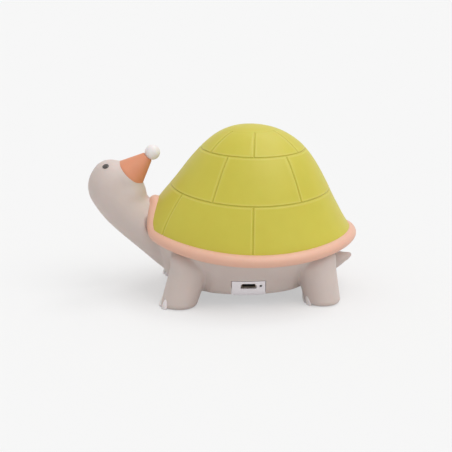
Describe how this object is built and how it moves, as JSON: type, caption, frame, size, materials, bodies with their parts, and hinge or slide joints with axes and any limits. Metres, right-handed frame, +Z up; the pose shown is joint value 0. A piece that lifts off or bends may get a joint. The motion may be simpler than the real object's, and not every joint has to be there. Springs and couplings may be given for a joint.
{
  "type": "turtle night light",
  "caption": "Soft turtle night light with a grooved translucent shell, party hat, belly lamp module, charging port and underside push button.",
  "frame": {"origin": "middle of the bounding box, on the plane that the soles stand on", "axes": "-X is the way the turtle faces, -Y is its left side with the port, +Z is up"},
  "size_m": [0.1412, 0.098, 0.0901],
  "materials": {
    "body_vinyl": "satin",
    "rim_vinyl": "satin",
    "dome_vinyl": "satin translucent",
    "hat_vinyl": "satin",
    "white_vinyl": "satin",
    "eye_black": "gloss",
    "white_abs": "fine matte",
    "socket_steel": "stamped",
    "black_plastic": "moulded",
    "clear_acrylic": "clear",
    "frosted_acrylic": "frosted",
    "green_board": "solder mask",
    "white_board": "white solder mask",
    "lamp_phosphor": "moulded",
    "cell_foil": "foil",
    "foam_tape": "foam",
    "screw_steel": "zinc plated",
    "lead_sleeve": "extruded"
  },
  "bodies": {
    "root": {"body_shell": "body_vinyl", "shell_rim": "rim_vinyl", "shell_dome": "dome_vinyl", "hat_cone": "hat_vinyl", "hat_pompom": "white_vinyl", "left_eye": "eye_black", "right_eye": "eye_black", "toe_claws": "white_vinyl", "module_base": "white_abs", "module_cover": "white_abs", "main_board": "green_board", "board_chips": "black_plastic", "board_screws": "screw_steel", "usb_socket": "socket_steel", "usb_tongue": "black_plastic", "indicator_pipe": "clear_acrylic", "indicator_lamp": "lamp_phosphor", "tact_switch": "black_plastic", "battery_cell": "cell_foil", "battery_tape": "foam_tape", "battery_leads": "lead_sleeve", "lamp_board": "white_board", "lamp_chips": "lamp_phosphor", "lamp_screws": "screw_steel", "lamp_leads": "lead_sleeve", "light_diffuser": "frosted_acrylic", "module_screws": "screw_steel"},
    "button": {"power_button": "white_abs"},
    "plunger": {"switch_plunger": "black_plastic"}
  },
  "joints": [
    {"name": "button_press", "type": "slide", "parent": "root", "child": "button", "axis": [0, 0, 1], "range_m": [0, 0.0006], "stiffness_N_per_m": 1500},
    {"name": "plunger_press", "type": "slide", "parent": "root", "child": "plunger", "axis": [0, 0, 1], "range_m": [0, 0.0006]}
  ],
  "couplings": [
    {"joint": "plunger_press", "follows": "button_press", "ratio": 1}
  ]
}
